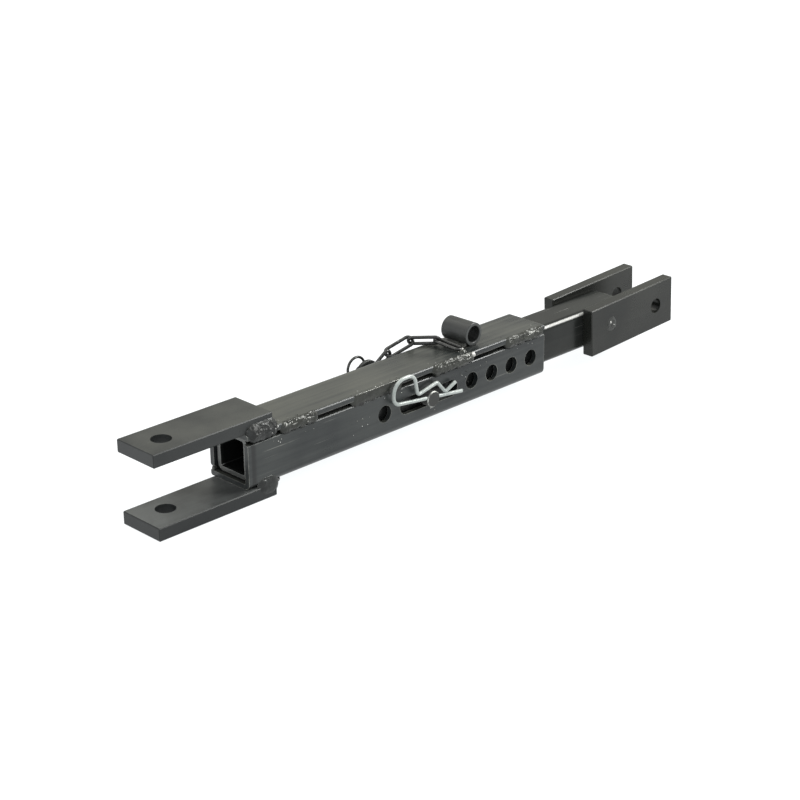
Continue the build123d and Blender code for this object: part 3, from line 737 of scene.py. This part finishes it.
# ---- spatter ---------------------------------------------------------------------------------------------------------
FRONT_FACE, TOP_FACE = "front", "top"
SPATTER = (                                 # face, x range, height or depth range, count, largest radius
    (FRONT_FACE, (334, 352), (-4, 12), 6, 0.8), (FRONT_FACE, (282, 301), (-19, -13), 2, 0.7),
    (FRONT_FACE, (188, 222), (-17, 2), 7, 0.7), (FRONT_FACE, (100, 152), (8, 14), 6, 0.7),
    (FRONT_FACE, (232, 262), (9, 15), 5, 0.7), (FRONT_FACE, (356, 448), (9, 15), 7, 0.6),
    (TOP_FACE, (106, 150), (-24, -17), 7, 0.7), (TOP_FACE, (196, 262), (-24, -18), 7, 0.6),
    (TOP_FACE, (300, 352), (-24, -16), 7, 0.7), (TOP_FACE, (378, 450), (-24, -14), 6, 0.6),
)
GLINT_EVERY = 3                             # one speck in three is painted bright as a highlight
SEAM_GLINTS = (                             # x, y, z and radius of the painted highlight dabs on the seam's beads
    (352.6, -27.4, 24.0, 2.6), (349.5, -27.2, 22.4, 1.6), (346.4, -27.3, 24.4, 1.3),
    (101.5, -28.2, 24.5, 1.5), (104.8, -27.6, 25.6, 1.3), (97.5, -28.4, 22.5, 1.2),
)
spatter, glint_dabs = Bead(17), Bead(18)
for face, across, along, count, largest in SPATTER:
    for number in range(count):
        bead = glint_dabs if number % GLINT_EVERY == 0 else spatter
        x, other = bead.random.uniform(*across), bead.random.uniform(*along)
        radius = bead.random.uniform(0.45, 1.0) * largest
        spot, out = ((x, -HALF, other), FRONT) if face == FRONT_FACE else ((x, other, HALF), UP)
        bead.blob(spot, out, radius, radius * 0.8, lump=0.15, rings=4, around=10, sink=0.2)
spatter.piece("spatter", "sleeve")
for x, y, z, radius in SEAM_GLINTS:
    glint_dabs.blob((x, y, z), (0.1, -1.0, 0.35), radius, radius * 0.45, lump=0.6, rings=8, around=22, sink=0.8)
# A painted highlight dab on the chain's anchor weld.
glint_dabs.blob(anchor + Vector((0.0, -0.6, 2.6)), (0, -0.5, 1), radius=1.3, height=0.8, lump=0.3, rings=6, around=16,
            sink=0.8)
glint_dabs.piece("spatter_glints", "sleeve", material=GLINT_METAL)

# ---- floor and light -------------------------------------------------------------------------------------------------
FLOOR_SIZE = 14.0
FLOOR_GAP = 0.0005
FLOOR_GLOW, FLOOR_GLOW_COLOUR = 0.97, (0.97, 0.99, 1.0, 1.0)
DIM_SIDE = (0.646, 0.661, 0.381)            # the world is dimmer this way, low behind the bar as the camera sees it
DIM_FROM, DIM_FULL = 0.55, 0.98             # cosines of the angle from DIM_SIDE between which the world dims
WHITE, DIM_TINT = (1.0, 1.0, 1.0, 1.0), (0.68, 0.68, 0.63, 1.0)
AIM = (0.30, 0.0, 0.0)


def make_floor():
    """A large pale floor that glows like a light table, under the lowest point of the object."""
    g = Graph("pale_floor")
    soft = g.noise(3.0, 2.0)
    body = g.mix(g.ramp(soft, 0.3, 0.7), (0.10, 0.10, 0.10), (0.12, 0.12, 0.12))
    material = g.finish(body, g.ramp(soft, 0.3, 0.7, 0.85, 0.95), g.bump(soft, 0.02, 0.001))
    g.shader.inputs["Emission Color"].default_value = FLOOR_GLOW_COLOUR
    g.shader.inputs["Emission Strength"].default_value = FLOOR_GLOW
    half = FLOOR_SIZE / 2
    mesh = bpy.data.meshes.new("floor")
    mesh.from_pydata([(-half, -half, 0), (half, -half, 0), (half, half, 0), (-half, half, 0)], [], [(0, 1, 2, 3)])
    mesh.materials.append(material)
    floor = bpy.data.objects.new("floor", mesh)
    floor.location.z = CAD_BOX[0].z - FLOOR_GAP
    bpy.context.scene.collection.objects.link(floor)


def add_area(name, place, size, power, colour, long_axis=(0.0, 0.0, 1.0)):
    """A soft box that faces the middle of the bar; its second size runs along long_axis."""
    data = bpy.data.lights.new(name, "AREA")
    data.shape, data.size, data.size_y = "RECTANGLE", *size
    data.energy, data.color = power, colour
    light = bpy.data.objects.new(name, data)
    back = (Vector(place) - Vector(AIM)).normalized()
    up = (Vector(long_axis) - back * back.dot(Vector(long_axis))).normalized()
    turn = Matrix((up.cross(back), up, back)).transposed().to_4x4()
    light.matrix_world = Matrix.Translation(Vector(place)) @ turn
    bpy.context.scene.collection.objects.link(light)


def make_world():
    """Soft studio light from all round, dimmer low down behind the bar, so the top faces keep their dark tone."""
    world = bpy.data.worlds.new("world")
    bpy.context.scene.world = world
    world.use_nodes = True
    tree = world.node_tree
    background = tree.nodes["Background"]
    place = tree.nodes.new("ShaderNodeTexCoord")
    facing = tree.nodes.new("ShaderNodeVectorMath")
    facing.operation = "DOT_PRODUCT"
    facing.inputs[1].default_value = DIM_SIDE
    fall = tree.nodes.new("ShaderNodeMapRange")
    fall.interpolation_type = "SMOOTHSTEP"
    fall.inputs["From Min"].default_value, fall.inputs["From Max"].default_value = DIM_FROM, DIM_FULL
    tint = tree.nodes.new("ShaderNodeMix")
    tint.data_type = "RGBA"
    tint.inputs[MIX_A].default_value, tint.inputs[MIX_B].default_value = WHITE, DIM_TINT
    tree.links.new(place.outputs["Generated"], facing.inputs[0])
    tree.links.new(facing.outputs["Value"], fall.inputs["Value"])
    tree.links.new(fall.outputs[0], tint.inputs[MIX_FACTOR])
    tree.links.new(tint.outputs[MIX_COLOUR], background.inputs[0])
    background.inputs[1].default_value = 1.0


make_floor()
make_world()
add_area("key_light", (0.1, 0.5, 1.9), (2.2, 1.6), 22.0, (1.0, 0.975, 0.90))
add_area("front_light", (-1.3, -1.7, 1.2), (1.3, 1.3), 4.5, (0.74, 0.88, 1.0))
add_area("edge_light", (1.45, -0.66, 1.20), (0.30, 1.30), 38.0, (1.0, 1.0, 0.98), (0.0, 0.866, 0.5))
add_area("end_light", (-1.8, 0.2, 0.6), (0.9, 0.9), 13.0, (1.0, 1.0, 1.0))
bpy.context.scene.view_settings.view_transform = "Standard"
